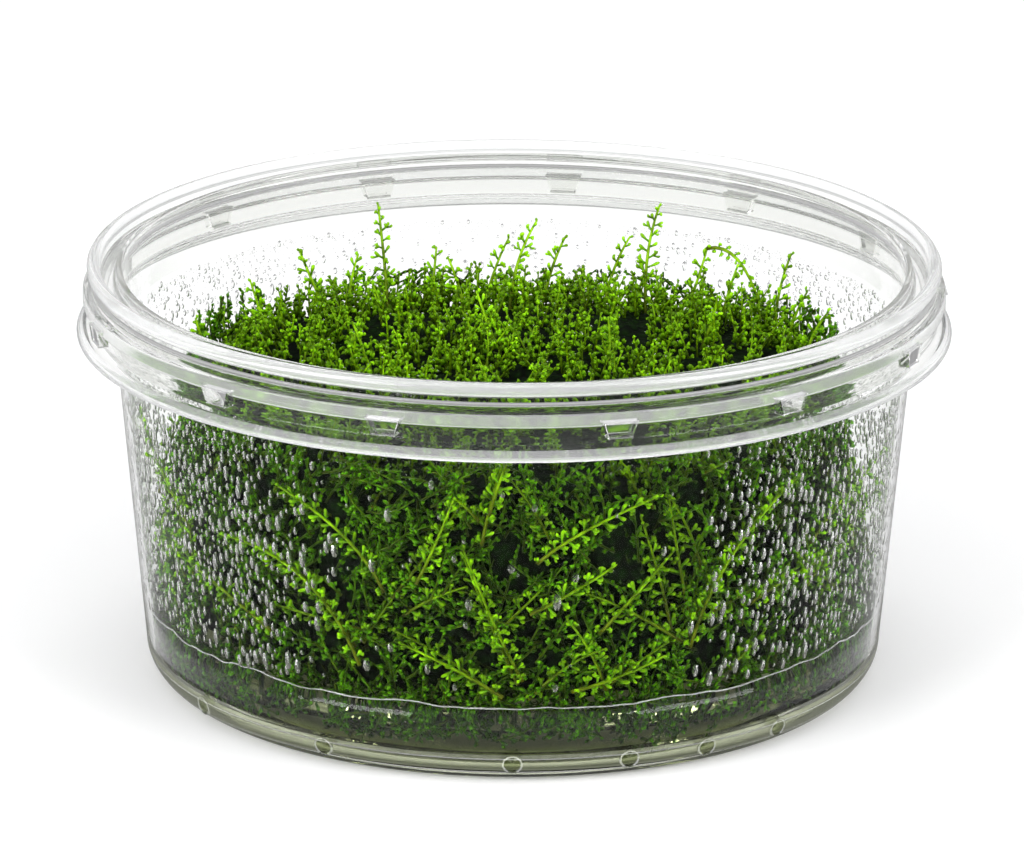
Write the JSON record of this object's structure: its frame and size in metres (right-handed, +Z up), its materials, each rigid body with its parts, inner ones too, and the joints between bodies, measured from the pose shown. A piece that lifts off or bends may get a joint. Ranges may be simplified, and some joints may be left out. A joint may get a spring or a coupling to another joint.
{
  "type": "java moss in clear cup",
  "caption": "Round clear plastic cup, open at the top, filled with a cushion of java moss that stands in a little water.",
  "frame": {"origin": "middle of the cup's underside, on the surface it stands on", "axes": "+Z up along the cup's axis, front of the picture towards -Y, +X to the right of the picture"},
  "size_m": [0.1026, 0.1026, 0.05],
  "materials": {
    "clear_plastic": "clear and glossy, misted inside with small drops",
    "water": "clear, slightly brown-green",
    "moss": "wet, matt, dark green",
    "frond": "wet leaflets, bright yellow-green at the tips"
  },
  "bodies": {
    "root": {"cup": "clear_plastic", "water": "water", "moss_mat": "moss", "standing_frond_01": "frond", "standing_frond_02": "frond", "standing_frond_03": "frond", "standing_frond_04": "frond", "standing_frond_05": "frond", "standing_frond_06": "frond", "standing_frond_07": "frond", "standing_frond_08": "frond", "standing_frond_09": "frond", "standing_frond_10": "frond", "standing_frond_11": "frond", "standing_frond_12": "frond", "standing_frond_13": "frond", "standing_frond_14": "frond", "standing_frond_15": "frond", "standing_frond_16": "frond", "standing_frond_17": "frond", "standing_frond_18": "frond", "standing_frond_19": "frond", "standing_frond_20": "frond", "standing_frond_21": "frond", "standing_frond_22": "frond", "standing_frond_23": "frond", "standing_frond_24": "frond", "wall_frond_01": "frond", "wall_frond_02": "frond", "wall_frond_03": "frond", "wall_frond_04": "frond", "wall_frond_05": "frond", "wall_frond_06": "frond", "wall_frond_07": "frond", "wall_frond_08": "frond", "wall_frond_09": "frond", "wall_frond_10": "frond", "wall_frond_11": "frond", "wall_frond_12": "frond", "wall_frond_13": "frond", "wall_frond_14": "frond", "wall_frond_15": "frond", "wall_frond_16": "frond", "wall_frond_17": "frond", "wall_frond_18": "frond", "wall_frond_19": "frond"}
  },
  "joints": []
}
